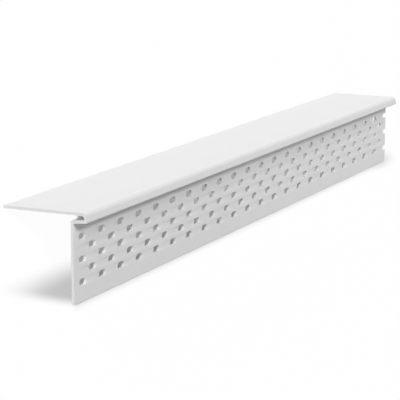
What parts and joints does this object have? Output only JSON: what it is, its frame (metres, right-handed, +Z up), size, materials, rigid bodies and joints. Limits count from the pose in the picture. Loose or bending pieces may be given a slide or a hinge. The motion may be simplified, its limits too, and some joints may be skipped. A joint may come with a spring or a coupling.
{
  "type": "vinyl l-stop bead",
  "caption": "Straight white vinyl L-stop bead: a plain flange and a perforated nailing leg joined by a hemmed nose, for a neat edge where render or board stops.",
  "frame": {"origin": "centre of the footprint at floor level, with the strip resting on its two free edges", "axes": "+X along the strip, from the end with the whole slots to the end that cuts a column of slots; -Y towards the perforated leg's side; +Z up, with the nose at the top"},
  "size_m": [0.3048, 0.0414, 0.0242],
  "materials": {
    "white_vinyl": "satin as extruded"
  },
  "bodies": {
    "root": {"bead": "white_vinyl"}
  },
  "joints": []
}
